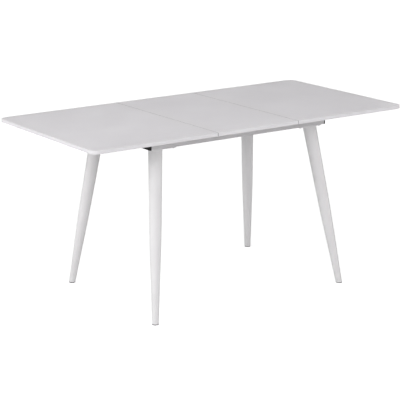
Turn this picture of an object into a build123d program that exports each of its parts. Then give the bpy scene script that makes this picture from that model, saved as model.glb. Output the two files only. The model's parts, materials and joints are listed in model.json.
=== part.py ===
from build123d import *
import math
import os

# Extendable dining table, shown extended with its loose leaf in place.
# Millimetres. X runs along the table, Y across it with the front at -Y, Z up from the floor.
# The origin is on the floor under the middle of the top.

# ---- driving dimensions -------------------------------------------------------------------
TABLE_LENGTH = 1520.0           # extended
TABLE_WIDTH = 775.0
TABLE_HEIGHT = 750.0
LEAF_WIDTH = 395.0              # pitch from seam to seam
SEAM_GAP = 0.6
TOP_THICKNESS = 15.0
CORNER_RADIUS = 35.0
EDGE_BAND = 2.0                 # thickness of the edging round each board
EDGE_SOFTENING = 1.0            # radius on the edging's top and bottom arrises
SEAM_CORNER_RADIUS = 1.8        # upright corners at the seams, so each seam shows as a small notch

RAIL_LENGTH = 858.0
RAIL_WIDTH = 86.0
RAIL_HEIGHT = 47.0
RAIL_GAP = 2.0                  # between the rails and the underside of the top
RAIL_Y = 223.0                  # centre line of each rail
RAIL_WALL = 3.0
RAIL_CHAMBER = 9.0              # clear height of the closed chamber under the two channels
RAIL_LIP = 7.5                  # lips that keep the runners down
RAIL_EDGE_RADIUS = 5.0
END_CAP = 6.0

FOOT_X = 468.0                  # where each leg's axis meets the floor
FOOT_Y = 335.0
LEG_TOP_X = 384.5               # and where it meets its mounting plate
LEG_TOP_Y = 222.0
LEG_FOOT_RADIUS = 14.0
LEG_KNEE_RADIUS = 24.4
LEG_TOP_RADIUS = 28.6
LEG_KNEE_DISTANCE = 335.0       # along the axis from the floor
LEG_KNEE_BLEND = 8000.0
LEG_WALL = 2.0
GLIDE_HEIGHT = 3.5
GLIDE_PLUG = 20.0
LEG_PLATE_X = (306.0, 425.0)
LEG_PLATE_WIDTH = 68.0
LEG_PLATE = 4.0
LEG_BOLT_X = (317.0, 415.0)
LEG_BOLT_SPREAD = 25.0          # either side of the rail's centre line

BAR_WIDTH = 40.0
BAR_HEIGHT = 25.0
BAR_WALL = 2.0
BAR_X = 365.0                   # outer cross bars; the third is in the middle
BAR_PLATE = 4.0
BAR_PLATE_WIDTH = 68.0
BAR_PLATE_DROP = 1.0            # the end plates reach this far below their bars
BAR_BOLT_SPREAD = 27.0

RUNNER_WIDTH = 33.5
RUNNER_HEIGHT = 24.0
RUNNER_WALL = 2.5
RUNNER_SPINE = 18.0             # width of the raised spine that carries the board
RUNNER_OUTER_X = 660.0
RUNNER_INNER_X = 12.0
SPINE_STEP = 1.0                # the spine is lower where it runs beyond its own board
SHOE = 2.2                      # thickness of the sliding shoes
SHOE_LENGTH = 40.0
SHOE_OUTER_X = 418.0
RUNNER_SCREW_X = (235.0, 330.0, 425.0, 520.0, 615.0)

BATTEN_WIDTH = 25.0
BATTEN_HEIGHT = 20.0
BATTEN_WALL = 2.0
BATTEN_SCREW_Y = (50.0, 150.0)

MODULE = 2.0
PINION_TEETH = 20
PRESSURE_ANGLE = 20.0
TOOTH_SLACK = 0.12              # each flank is set back by this
RACK_SLACK = 0.15               # each rack's pitch line stands off by this
PINION_Z = (718.0, 725.0)
RACK_Z = (718.0, 727.0)
RACK_BACK = 8.0                 # depth of the bar behind the teeth
RACK_TEETH = 36
RACK_END_X = 290.0
RACK_BRACKET_X = (250.0, 290.0)
RACK_BRACKET_Y = (12.0, 54.0)
AXLE_RADIUS = 4.0
BUSH_WALL = 1.9
GEAR_BRACKET = 3.0

DOWEL_RADIUS = 4.0
DOWEL_LENGTH = 24.0
DOWEL_REACH = 10.0              # how far a dowel stands out of its board
DOWEL_Y = (110.0, 310.0)
SOCKET_SLACK = 0.3
SOCKET_SPARE = 2.0              # room beyond a dowel's tip
REST_PAD_RADIUS = 7.0
REST_PAD_X = (60.0, 150.0)

# ---- fasteners and small fits -------------------------------------------------------------
PAST = 1.0                      # how far a cutting shape runs past the face that it opens
HOLE_SPARE = 1.0                # blind holes are this much deeper than what they hold
BOLT_RADIUS = 3.0
BOLT_SLACK = 0.3
BOLT_HEAD_RADIUS = 5.3
BOLT_HEAD_HEIGHT = 3.3
BOLT_HEAD_ROUNDING = 0.6        # share of the head height
BOLT_LENGTH = 12.0
SOCKET_RADIUS = 2.3
SOCKET_DEPTH = 1.8
RIVET_NUT_RADIUS = 4.5
RIVET_NUT_LENGTH = 8.5
PLATE_CORNER = 8.0
SCREW_RADIUS = 2.0
SCREW_HEAD_RADIUS = 4.0
SCREW_HEAD_HEIGHT = 2.4
SCREW_TIP = 3.0
SCREW_POINT_RADIUS = 0.3
SCREW_HEAD_ROUNDING = 0.5       # share of the head height
SCREW_CROSS_WIDTH = 1.0
SCREW_CROSS_DEPTH = 0.8
SCREW_BITE = 11.0               # how far a screw goes into a board
CAP_PLUG = 8.0
CAP_SLACK = 0.2
GUIDE_SLACK = 1.0
GLIDE_SLACK = 0.1
GLIDE_JOIN = 0.5                # overlap of the plug with its disc
CUT_SPARE = 12.0
CUT_REACH = 600.0
SCREW_SLACK = 0.3
ACCESS_RADIUS = 5.5             # holes that let a driver reach a screw
PLUG_PLATE = 2.0
PLUG_TONGUE = 10.0
RACK_SCREW_RADIUS = 1.6
RACK_SCREW_BITE = 6.0
RACK_SCREW_INSET = 10.0
RACK_BRACKET_CORNER = 3.0
RACK_BRACKET_INSET = 8.0        # its screws' distance from its edges
DEDENDUM = 1.25                 # tooth root below the pitch line, in modules
FIRST_TOOTH = -2                # teeth of a rack that lie past the pinion at rest
TOOTH_SINK = 0.5                # how far a tooth's outline starts inside the root circle
FLANK_STEPS = 5
LIGHTENING_HOLES = 5
LIGHTENING_PCR = 11.6
LIGHTENING_RADIUS = 3.0
GEAR_BRACKET_HALF = (18.0, 50.0)
GEAR_SCREW_Y = 42.0
GEAR_SCREW_BITE = 4.0
GEAR_BRACKET_CORNER = 4.0
AXLE_STUB = 1.5                 # above the clip
BUSH_SLACK = 0.08
WASHER = 0.8
WASHER_RADIUS = 8.5
CLIP = 0.8
CLIP_DEPTH = 1.0
CLIP_RADIUS = 7.0

# ---- derived places -----------------------------------------------------------------------
LEFT, RIGHT = -1, 1
FRONT, REAR = -1, 1
SIDE_NAMES = {LEFT: "left", RIGHT: "right"}
DEPTH_NAMES = {FRONT: "front", REAR: "rear"}

panel_outer_x = TABLE_LENGTH / 2
panel_inner_x = LEAF_WIDTH / 2 + SEAM_GAP / 2
leaf_half = LEAF_WIDTH / 2 - SEAM_GAP / 2
half_width = TABLE_WIDTH / 2
under_top = TABLE_HEIGHT - TOP_THICKNESS

rail_top = under_top - RAIL_GAP
rail_bottom = rail_top - RAIL_HEIGHT
rail_end = RAIL_LENGTH / 2
rail_inner_y = RAIL_Y - RAIL_WIDTH / 2
chamber_z = (rail_bottom + RAIL_WALL, rail_bottom + RAIL_WALL + RAIL_CHAMBER)
channel_floor = chamber_z[1] + RAIL_WALL
channel_roof = rail_top - RAIL_WALL
channel_width = (RAIL_WIDTH - 3 * RAIL_WALL) / 2
channel_offset = (channel_width + RAIL_WALL) / 2
slot_width = channel_width - 2 * RAIL_LIP
plate_bottom = rail_bottom - LEG_PLATE

runner_bottom = (channel_floor + channel_roof - RUNNER_HEIGHT) / 2
runner_top = runner_bottom + RUNNER_HEIGHT
bar_z = (chamber_z[0], chamber_z[0] + BAR_HEIGHT)
bar_bolt_z = (chamber_z[0] + chamber_z[1]) / 2
pitch_radius = MODULE * PINION_TEETH / 2


# ---- simple solids ------------------------------------------------------------------------
def block(x_limits, y_limits, z_limits):
    """Box between two limits on each axis, given in either order."""
    limits = (x_limits, y_limits, z_limits)
    middle = [(a + b) / 2 for a, b in limits]
    size = [abs(b - a) for a, b in limits]
    return Pos(*middle) * Box(*size)


def upright(x, y, z_low, z_high, radius):
    """Cylinder along Z."""
    return Pos(x, y, (z_low + z_high) / 2) * Cylinder(radius, z_high - z_low)


def lying_x(x_limits, y, z, radius):
    """Cylinder along X."""
    length = abs(x_limits[1] - x_limits[0])
    return Pos(sum(x_limits) / 2, y, z) * Rot(0, 90, 0) * Cylinder(radius, length)


def lying_y(x, y_limits, z, radius):
    """Cylinder along Y."""
    length = abs(y_limits[1] - y_limits[0])
    return Pos(x, sum(y_limits) / 2, z) * Rot(90, 0, 0) * Cylinder(radius, length)


def ring(x, y, z_low, z_high, outer, inner):
    """Upright tube."""
    return upright(x, y, z_low, z_high, outer) - upright(x, y, z_low, z_high, inner)


def signed(side, limits):
    """Limits mirrored to the side of the table that side stands for."""
    return tuple(side * value for value in limits)


def write(name, solids):
    """Writes one node: a solid, or a group of separate solids."""
    if isinstance(solids, list):
        solids = Compound(children=solids)
    export_step(solids, f"parts/{name}.step")


# ---- boards and their edging --------------------------------------------------------------
def slab(x_limits, y_half, radii):
    """Flat board; radii round its upright corners at the low and the high X end."""
    board = block(x_limits, (-y_half, y_half), (under_top, TABLE_HEIGHT))
    for end, radius in zip((0, -1), radii):
        if radius > 0:
            corners = board.edges().filter_by(Axis.Z).group_by(Axis.X)[end]
            board = fillet(corners, radius)
    return board


def banded_board(x_limits, radii):
    """The board's core and the edging that wraps all four of its edges."""
    low, high = sorted(x_limits)
    outside = slab((low, high), half_width, radii)
    arrises = outside.faces().sort_by(Axis.Z)[-1].edges() + outside.faces().sort_by(Axis.Z)[0].edges()
    outside = fillet(arrises, EDGE_SOFTENING)
    inset = (low + EDGE_BAND, high - EDGE_BAND)
    core_radii = [max(radius - EDGE_BAND, 0.0) for radius in radii]
    core = slab(inset, half_width - EDGE_BAND, core_radii)
    return core, outside - core


def dowel_holes(x_limits, radius):
    """Holes along a seam edge, in the middle of the board's thickness."""
    middle = under_top + TOP_THICKNESS / 2
    rows = [side * y for side in (FRONT, REAR) for y in DOWEL_Y]
    return [lying_x(x_limits, y, middle, radius) for y in rows]


def dowels(seam_x, direction):
    """Dowels glued into the board at seam_x, standing out in the given X direction."""
    tip = seam_x + direction * DOWEL_REACH
    return dowel_holes((tip - direction * DOWEL_LENGTH, tip), DOWEL_RADIUS)


def drill(shape, holes):
    for hole in holes:
        shape = shape - hole
    return shape


def glued_holes(seam_x, direction):
    """Blind holes that hold the glued ends of the dowels."""
    depth = DOWEL_LENGTH - DOWEL_REACH + HOLE_SPARE
    return dowel_holes((seam_x - direction * depth, seam_x + direction * PAST), DOWEL_RADIUS)


def sockets(seam_x, direction):
    """Blind holes, opening at seam_x, that take another board's dowels."""
    depth = DOWEL_REACH + SOCKET_SPARE
    radius = DOWEL_RADIUS + SOCKET_SLACK
    return dowel_holes((seam_x - direction * PAST, seam_x + direction * depth), radius)


# ---- rails and their end caps -------------------------------------------------------------
def runner_y(side, depth):
    """Centre line of a runner: the left top uses the outer channels, the right the inner."""
    return depth * (RAIL_Y - side * channel_offset)


def leg_bolt_places(side, depth):
    rows = [depth * (RAIL_Y + shift) for shift in (-LEG_BOLT_SPREAD, LEG_BOLT_SPREAD)]
    return [(side * x, y) for x in LEG_BOLT_X for y in rows]


def bar_centres():
    return (-BAR_X, 0.0, BAR_X)


def bar_bolt_xs():
    return [x + shift for x in bar_centres() for shift in (-BAR_BOLT_SPREAD, BAR_BOLT_SPREAD)]


def rail_envelope(x_limits, depth):
    """Outside of the rail's section, with its two lower edges rounded."""
    edges_y = (depth * (RAIL_Y - RAIL_WIDTH / 2), depth * (RAIL_Y + RAIL_WIDTH / 2))
    body = block(x_limits, edges_y, (rail_bottom, rail_top))
    lower = body.edges().filter_by(Axis.X).group_by(Axis.Z)[0]
    return fillet(lower, RAIL_EDGE_RADIUS)


def channel_space(x_limits, y):
    """The space of one channel and its top slot."""
    half = channel_width / 2
    slot_half = slot_width / 2
    wide = block(x_limits, (y - half, y + half), (channel_floor, channel_roof))
    slot = block(x_limits, (y - slot_half, y + slot_half), (channel_floor, rail_top + PAST))
    return wide + slot


def chamber_space(x_limits, depth, inset):
    half = RAIL_WIDTH / 2 - RAIL_WALL - inset
    y_limits = (depth * RAIL_Y - half, depth * RAIL_Y + half)
    return block(x_limits, y_limits, (chamber_z[0] + inset, chamber_z[1] - inset))


def rail(depth):
    """Extruded rail: a closed chamber below and two open-topped channels above it."""
    whole = (-rail_end, rail_end)
    past = (-rail_end - PAST, rail_end + PAST)
    body = rail_envelope(whole, depth) - chamber_space(past, depth, 0)
    for side in (LEFT, RIGHT):
        body -= channel_space(past, runner_y(side, depth))
        for x, y in leg_bolt_places(side, depth):
            body -= upright(x, y, rail_bottom - PAST, chamber_z[0] + PAST, RIVET_NUT_RADIUS)
    wall = (depth * (rail_inner_y - PAST), depth * (rail_inner_y + RAIL_WALL + PAST))
    for x in bar_bolt_xs():
        body -= lying_y(x, wall, bar_bolt_z, RIVET_NUT_RADIUS)
    return body


def end_cap(side, depth):
    """Moulded cap: a plate over the rail's end, plugs in it, and a guide for the runner."""
    plate_x = signed(side, (rail_end, rail_end + END_CAP))
    plug_x = signed(side, (rail_end - CAP_PLUG, rail_end))
    body = rail_envelope(plate_x, depth)
    body += chamber_space(plug_x, depth, CAP_SLACK)
    blind_y = runner_y(-side, depth)
    plug_half = channel_width / 2 - CAP_SLACK
    plug_z = (channel_floor + CAP_SLACK, channel_roof - CAP_SLACK)
    body += block(plug_x, (blind_y - plug_half, blind_y + plug_half), plug_z)
    y = runner_y(side, depth)
    past = signed(side, (rail_end - PAST, rail_end + END_CAP + PAST))
    body -= runner_space(past, y, GUIDE_SLACK, rail_top + PAST)
    return body


def runner_space(x_limits, y, slack, spine_top):
    """A runner's outside, made larger by slack."""
    half = RUNNER_WIDTH / 2 + slack
    spine_half = RUNNER_SPINE / 2 + slack
    box = block(x_limits, (y - half, y + half), (runner_bottom - slack, runner_top + slack))
    spine = block(x_limits, (y - spine_half, y + spine_half), (runner_bottom, spine_top))
    return box + spine


# ---- legs, plates and glides --------------------------------------------------------------
def leg_axis(side, depth):
    """Plane on the floor whose Z runs up the leg's axis."""
    foot = Vector(side * FOOT_X, depth * FOOT_Y, 0)
    top = Vector(side * LEG_TOP_X, depth * LEG_TOP_Y, plate_bottom)
    return Plane(origin=foot, z_dir=top - foot), (top - foot).length


def tapered_bar(side, depth, shrink):
    """Round bar along the leg's axis that tapers faster below the knee, past both cuts."""
    plane, length = leg_axis(side, depth)
    low_slope = (LEG_KNEE_RADIUS - LEG_FOOT_RADIUS) / LEG_KNEE_DISTANCE
    high_slope = (LEG_TOP_RADIUS - LEG_KNEE_RADIUS) / (length - LEG_KNEE_DISTANCE)
    foot = (LEG_FOOT_RADIUS - shrink - CUT_SPARE * low_slope, -CUT_SPARE)
    knee = (LEG_KNEE_RADIUS - shrink, LEG_KNEE_DISTANCE)
    top = (LEG_TOP_RADIUS - shrink + CUT_SPARE * high_slope, length + CUT_SPARE)
    flank = FilletPolyline(foot, knee, top, radius=LEG_KNEE_BLEND)
    closing = Polyline(top, (0, top[1]), (0, foot[1]), foot)
    outline = make_face(flank.edges() + closing.edges())
    return plane * revolve(Plane.XZ * outline, Axis.Z)


def layer(z_low, z_high):
    """Horizontal slice of space, used to cut a leaning part off level."""
    return block((-CUT_REACH, CUT_REACH), (-CUT_REACH, CUT_REACH), (z_low, z_high))


def leg(side, depth):
    tube = tapered_bar(side, depth, 0) & layer(GLIDE_HEIGHT, plate_bottom)
    return tube - tapered_bar(side, depth, LEG_WALL)


def glide(side, depth):
    """Plastic glide: a disc as wide as the leg's end, and a plug pushed up into it."""
    disc = tapered_bar(side, depth, 0) & layer(0, GLIDE_HEIGHT)
    plug = tapered_bar(side, depth, LEG_WALL + GLIDE_SLACK)
    return disc + (plug & layer(GLIDE_HEIGHT - GLIDE_JOIN, GLIDE_HEIGHT + GLIDE_PLUG))


def leg_plate(side, depth):
    half = LEG_PLATE_WIDTH / 2
    y_limits = (depth * RAIL_Y - half, depth * RAIL_Y + half)
    plate = block(signed(side, LEG_PLATE_X), y_limits, (plate_bottom, rail_bottom))
    plate = fillet(plate.edges().filter_by(Axis.Z), PLATE_CORNER)
    for x, y in leg_bolt_places(side, depth):
        plate -= upright(x, y, plate_bottom - PAST, rail_bottom + PAST, BOLT_RADIUS + BOLT_SLACK)
    return plate


def button_bolt(length):
    """Socket button-head bolt pointing up, with the underside of its head at the origin."""
    head = Pos(0, 0, -BOLT_HEAD_HEIGHT / 2) * Cylinder(BOLT_HEAD_RADIUS, BOLT_HEAD_HEIGHT)
    rim = head.edges().filter_by(GeomType.CIRCLE).sort_by(Axis.Z)[0]
    head = fillet(rim, BOLT_HEAD_HEIGHT * BOLT_HEAD_ROUNDING)
    socket = Pos(0, 0, -BOLT_HEAD_HEIGHT) * extrude(RegularPolygon(SOCKET_RADIUS, 6), SOCKET_DEPTH)
    shank = Pos(0, 0, length / 2) * Cylinder(BOLT_RADIUS, length)
    return head + shank - socket


def panel_screw(length):
    """Countersunk-style pan screw pointing up, with the underside of its head at the origin."""
    head = Pos(0, 0, -SCREW_HEAD_HEIGHT / 2) * Cylinder(SCREW_HEAD_RADIUS, SCREW_HEAD_HEIGHT)
    rim = head.edges().filter_by(GeomType.CIRCLE).sort_by(Axis.Z)[0]
    head = fillet(rim, SCREW_HEAD_HEIGHT * SCREW_HEAD_ROUNDING)
    cross_height = 2 * SCREW_CROSS_DEPTH
    cross = Box(SCREW_HEAD_RADIUS, SCREW_CROSS_WIDTH, cross_height)
    cross += Box(SCREW_CROSS_WIDTH, SCREW_HEAD_RADIUS, cross_height)
    cross = Pos(0, 0, -SCREW_HEAD_HEIGHT) * cross
    shank = Pos(0, 0, (length - SCREW_TIP) / 2) * Cylinder(SCREW_RADIUS, length - SCREW_TIP)
    tip = Pos(0, 0, length - SCREW_TIP / 2) * Cone(SCREW_RADIUS, SCREW_POINT_RADIUS, SCREW_TIP)
    return head + shank + tip - cross


# ---- cross bars ---------------------------------------------------------------------------
def hollow_bar(x_limits, y_limits, z_limits, wall):
    """Rectangular tube along Y."""
    inner_x = (x_limits[0] + wall, x_limits[1] - wall)
    inner_y = (y_limits[0] - PAST, y_limits[1] + PAST)
    inner_z = (z_limits[0] + wall, z_limits[1] - wall)
    return block(x_limits, y_limits, z_limits) - block(inner_x, inner_y, inner_z)


def cross_bar(x):
    reach = rail_inner_y - BAR_PLATE
    body = hollow_bar((x - BAR_WIDTH / 2, x + BAR_WIDTH / 2), (-reach, reach), bar_z, BAR_WALL)
    if x == 0:
        for y in (-GEAR_SCREW_Y, GEAR_SCREW_Y):
            body -= upright(x, y, bar_z[1] - BAR_WALL - PAST, bar_z[1] + PAST, SCREW_RADIUS)
    return body


def bar_end_plates():
    """Plates welded to the ends of the cross bars, one against each rail."""
    plates = []
    half = BAR_PLATE_WIDTH / 2
    for x in bar_centres():
        for depth in (FRONT, REAR):
            y_limits = (depth * (rail_inner_y - BAR_PLATE), depth * rail_inner_y)
            plate = block((x - half, x + half), y_limits, (bar_z[0] - BAR_PLATE_DROP, bar_z[1]))
            for shift in (-BAR_BOLT_SPREAD, BAR_BOLT_SPREAD):
                hole_y = (depth * (rail_inner_y - BAR_PLATE - PAST), depth * (rail_inner_y + PAST))
                plate -= lying_y(x + shift, hole_y, bar_bolt_z, BOLT_RADIUS + BOLT_SLACK)
            plates.append(plate)
    return plates


# ---- runners and what rides with them -----------------------------------------------------
def runner_screw_places(side):
    ys = [runner_y(side, depth) for depth in (FRONT, REAR)]
    return [(side * x, y) for x in RUNNER_SCREW_X for y in ys]


def runner(side, depth):
    """Box profile with a spine; the spine is full height only under its own board."""
    y = runner_y(side, depth)
    whole = signed(side, (RUNNER_INNER_X, RUNNER_OUTER_X))
    free = signed(side, (RUNNER_INNER_X - PAST, panel_inner_x))
    body = runner_space(whole, y, 0, under_top)
    half = RUNNER_WIDTH / 2 - RUNNER_WALL
    hollow_x = signed(side, (RUNNER_INNER_X - PAST, RUNNER_OUTER_X + PAST))
    hollow_z = (runner_bottom + RUNNER_WALL, runner_top - RUNNER_WALL)
    body -= block(hollow_x, (y - half, y + half), hollow_z)
    body -= block(free, (y - RUNNER_WIDTH, y + RUNNER_WIDTH), (under_top - SPINE_STEP, under_top + PAST))
    for x in RUNNER_SCREW_X:
        body -= upright(side * x, y, runner_bottom - PAST, runner_bottom + RUNNER_WALL + PAST, ACCESS_RADIUS)
        body -= upright(side * x, y, hollow_z[1] - PAST, under_top + PAST, SCREW_RADIUS + SCREW_SLACK)
    return body


def slide_shoes(side):
    """Nylon shoes clipped round each runner, two to a runner."""
    shoes = []
    starts = (RUNNER_INNER_X, SHOE_OUTER_X - SHOE_LENGTH)
    for depth in (FRONT, REAR):
        y = runner_y(side, depth)
        for start in starts:
            x_limits = signed(side, (start, start + SHOE_LENGTH))
            past = signed(side, (start - PAST, start + SHOE_LENGTH + PAST))
            half = RUNNER_WIDTH / 2 + SHOE
            body = block(x_limits, (y - half, y + half), (runner_bottom - SHOE, runner_top + SHOE))
            shoes.append(body - runner_space(past, y, 0, rail_top))
    return shoes


def runner_plugs(side):
    """Plastic plugs that close both ends of each runner."""
    plugs = []
    tongue_half = RUNNER_WIDTH / 2 - RUNNER_WALL - CAP_SLACK
    tongue_z = (runner_bottom + RUNNER_WALL + CAP_SLACK, runner_top - RUNNER_WALL - CAP_SLACK)
    for depth in (FRONT, REAR):
        y = runner_y(side, depth)
        for end, outward in ((RUNNER_INNER_X, -1), (RUNNER_OUTER_X, 1)):
            half = RUNNER_WIDTH / 2
            plate_x = signed(side, (end, end + outward * PLUG_PLATE))
            tongue_x = signed(side, (end, end - outward * PLUG_TONGUE))
            plate = block(plate_x, (y - half, y + half), (runner_bottom, runner_top))
            tongue = block(tongue_x, (y - tongue_half, y + tongue_half), tongue_z)
            plugs.append(plate + tongue)
    return plugs


def batten_x(side):
    return sorted(signed(side, (RUNNER_OUTER_X - BATTEN_WIDTH, RUNNER_OUTER_X)))


def batten_screw_places(side):
    rows = [depth * y for depth in (FRONT, REAR) for y in BATTEN_SCREW_Y]
    return [(sum(batten_x(side)) / 2, y) for y in rows]


def batten(side):
    """Tube across the outer end that keeps the board flat and the runners parallel."""
    reach = abs(runner_y(side, REAR)) - RUNNER_WIDTH / 2
    z_limits = (under_top - BATTEN_HEIGHT, under_top)
    body = hollow_bar(batten_x(side), (-reach, reach), z_limits, BATTEN_WALL)
    for x, y in batten_screw_places(side):
        body -= upright(x, y, z_limits[0] - PAST, z_limits[0] + BATTEN_WALL + PAST, ACCESS_RADIUS)
        body -= upright(x, y, under_top - BATTEN_WALL - PAST, under_top + PAST, SCREW_RADIUS + SCREW_SLACK)
    return body


# ---- the synchronising gear ---------------------------------------------------------------
def involute(angle):
    return math.tan(angle) - angle


def tooth_outline(tooth_angle):
    """One pinion tooth: two involute flanks from the root to the tip."""
    pressure = math.radians(PRESSURE_ANGLE)
    base = pitch_radius * math.cos(pressure)
    tip = pitch_radius + MODULE
    root = pitch_radius - DEDENDUM * MODULE
    half_angle = (math.pi * MODULE / 4 - TOOTH_SLACK) / pitch_radius + involute(pressure)
    flank = [(root - TOOTH_SINK, half_angle)]
    for step in range(FLANK_STEPS + 1):
        radius = base + (tip - base) * step / FLANK_STEPS
        flank.append((radius, half_angle - involute(math.acos(base / radius))))
    rising = [(r, tooth_angle - a) for r, a in flank]
    falling = [(r, tooth_angle + a) for r, a in reversed(flank)]
    return [(r * math.cos(a), r * math.sin(a)) for r, a in rising + falling]


def sync_pinion():
    """Spur gear on the middle of the frame, with a tooth space facing each rack at rest."""
    low, high = PINION_Z
    body = upright(0, 0, low, high, pitch_radius - DEDENDUM * MODULE)
    for tooth in range(PINION_TEETH):
        angle = 2 * math.pi * (tooth + 0.5) / PINION_TEETH
        outline = make_face(Polyline(*tooth_outline(angle), close=True))
        body += Pos(0, 0, low) * extrude(outline, high - low)
    body -= upright(0, 0, low - PAST, high + PAST, AXLE_RADIUS + BUSH_SLACK + BUSH_WALL)
    for spoke in range(LIGHTENING_HOLES):
        angle = 2 * math.pi * spoke / LIGHTENING_HOLES
        x, y = LIGHTENING_PCR * math.cos(angle), LIGHTENING_PCR * math.sin(angle)
        body -= upright(x, y, low - PAST, high + PAST, LIGHTENING_RADIUS)
    return body


def rack_screw_places(side):
    y = -side * (pitch_radius + RACK_SLACK + DEDENDUM * MODULE + RACK_BACK / 2)
    low, high = RACK_BRACKET_X
    return [(side * x, y) for x in (low + RACK_SCREW_INSET, high - RACK_SCREW_INSET)]


def rack(side):
    """Toothed bar; the left top's rack runs behind the pinion and the right top's before it."""
    pitch = math.pi * MODULE
    slope = math.tan(math.radians(PRESSURE_ANGLE))
    pitch_y = pitch_radius + RACK_SLACK
    root_y = pitch_y + DEDENDUM * MODULE
    tip_y = pitch_y - MODULE
    half_pitch = pitch / 4 - TOOTH_SLACK
    points = []
    for tooth in range(FIRST_TOOTH, FIRST_TOOTH + RACK_TEETH):
        centre = tooth * pitch
        half_root = half_pitch + DEDENDUM * MODULE * slope
        half_tip = half_pitch - MODULE * slope
        points += [(centre - half_root, root_y), (centre - half_tip, tip_y)]
        points += [(centre + half_tip, tip_y), (centre + half_root, root_y)]
    back_y = root_y + RACK_BACK
    first_x = (FIRST_TOOTH - 0.5) * pitch
    outline = [(first_x, back_y), (first_x, root_y), *points, (RACK_END_X, root_y), (RACK_END_X, back_y)]
    outline = [(side * x, -side * y) for x, y in outline]
    low, high = RACK_Z
    body = Pos(0, 0, low) * extrude(make_face(Polyline(*outline, close=True)), high - low)
    for x, y in rack_screw_places(side):
        body -= upright(x, y, low - PAST, high + PAST, RACK_SCREW_RADIUS + SCREW_SLACK)
    return body


def rack_bracket_screw_places(side):
    low, high = RACK_BRACKET_X
    y = -side * (RACK_BRACKET_Y[1] - RACK_BRACKET_INSET)
    return [(side * x, y) for x in (low + RACK_BRACKET_INSET, high - RACK_BRACKET_INSET)]


def rack_bracket(side):
    """Block under the board that carries the end of the rack."""
    y_limits = signed(-side, RACK_BRACKET_Y)
    body = block(signed(side, RACK_BRACKET_X), y_limits, (RACK_Z[1], under_top))
    body = fillet(body.edges().filter_by(Axis.Z), RACK_BRACKET_CORNER)
    for x, y in rack_screw_places(side):
        body -= upright(x, y, RACK_Z[1] - PAST, RACK_Z[1] + RACK_SCREW_BITE, RACK_SCREW_RADIUS)
    for x, y in rack_bracket_screw_places(side):
        body -= upright(x, y, RACK_Z[1] - PAST, under_top + PAST, SCREW_RADIUS + SCREW_SLACK)
    return body


def gear_bracket():
    """Plate on the middle cross bar that holds the pinion's axle."""
    half_x, half_y = GEAR_BRACKET_HALF
    body = block((-half_x, half_x), (-half_y, half_y), (bar_z[1], bar_z[1] + GEAR_BRACKET))
    body = fillet(body.edges().filter_by(Axis.Z), GEAR_BRACKET_CORNER)
    body -= upright(0, 0, bar_z[1] - PAST, bar_z[1] + GEAR_BRACKET + PAST, AXLE_RADIUS)
    for y in (-GEAR_SCREW_Y, GEAR_SCREW_Y):
        body -= upright(0, y, bar_z[1] - PAST, bar_z[1] + GEAR_BRACKET + PAST, SCREW_RADIUS + SCREW_SLACK)
    return body


def gear_axle():
    """Pin riveted into the bracket, with a groove for its clip."""
    low = bar_z[1]
    groove = PINION_Z[1] + WASHER
    body = upright(0, 0, low, groove + CLIP + AXLE_STUB, AXLE_RADIUS)
    return body - ring(0, 0, groove, groove + CLIP, AXLE_RADIUS + PAST, AXLE_RADIUS - CLIP_DEPTH)


def gear_washers():
    """Thin washers under and over the pinion."""
    inner = AXLE_RADIUS + BUSH_SLACK
    under = ring(0, 0, bar_z[1] + GEAR_BRACKET, PINION_Z[0], WASHER_RADIUS, inner)
    over = ring(0, 0, PINION_Z[1], PINION_Z[1] + WASHER, WASHER_RADIUS, inner)
    return [under, over]


def gear_clip():
    """Open retaining clip in the axle's groove."""
    low = PINION_Z[1] + WASHER
    body = ring(0, 0, low, low + CLIP, CLIP_RADIUS, AXLE_RADIUS - CLIP_DEPTH)
    mouth = AXLE_RADIUS - CLIP_DEPTH
    return body - block((0, CLIP_RADIUS + PAST), (-mouth, mouth), (low - PAST, low + CLIP + PAST))


# ---- screws and bolts ---------------------------------------------------------------------
def screws_under(places, seat_z, length):
    screw = panel_screw(length)
    return [Pos(x, y, seat_z) * screw for x, y in places]


def pilot_holes(places, depth):
    """Holes in the underside of a board, the same size as the screws that fill them."""
    return [upright(x, y, under_top - PAST, under_top + depth, SCREW_RADIUS) for x, y in places]


def board_screw_places(side):
    return runner_screw_places(side) + batten_screw_places(side) + rack_bracket_screw_places(side)


def board_screws(side):
    """All the screws that go up into one half of the top."""
    runner_seat = runner_top - RUNNER_WALL
    batten_seat = under_top - BATTEN_WALL
    groups = screws_under(runner_screw_places(side), runner_seat, under_top - runner_seat + SCREW_BITE)
    groups += screws_under(batten_screw_places(side), batten_seat, BATTEN_WALL + SCREW_BITE)
    bracket_length = under_top - RACK_Z[1] + SCREW_BITE
    return groups + screws_under(rack_bracket_screw_places(side), RACK_Z[1], bracket_length)


def rack_screws(side):
    """Grub screws that hold the rack up against its bracket, flush with its underside."""
    top = RACK_Z[1] + RACK_SCREW_BITE - HOLE_SPARE
    return [upright(x, y, RACK_Z[0], top, RACK_SCREW_RADIUS) for x, y in rack_screw_places(side)]


def leg_bolts():
    bolt = Pos(0, 0, plate_bottom) * button_bolt(BOLT_LENGTH)
    places = [p for side in (LEFT, RIGHT) for depth in (FRONT, REAR) for p in leg_bolt_places(side, depth)]
    return [Pos(x, y, 0) * bolt for x, y in places]


def bar_bolts():
    bolts = []
    for depth in (FRONT, REAR):
        turn = Rot(-90 * depth, 0, 0)
        seat_y = depth * (rail_inner_y - BAR_PLATE)
        for x in bar_bolt_xs():
            bolts.append(Pos(x, seat_y, bar_bolt_z) * turn * button_bolt(BOLT_LENGTH))
    return bolts


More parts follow.
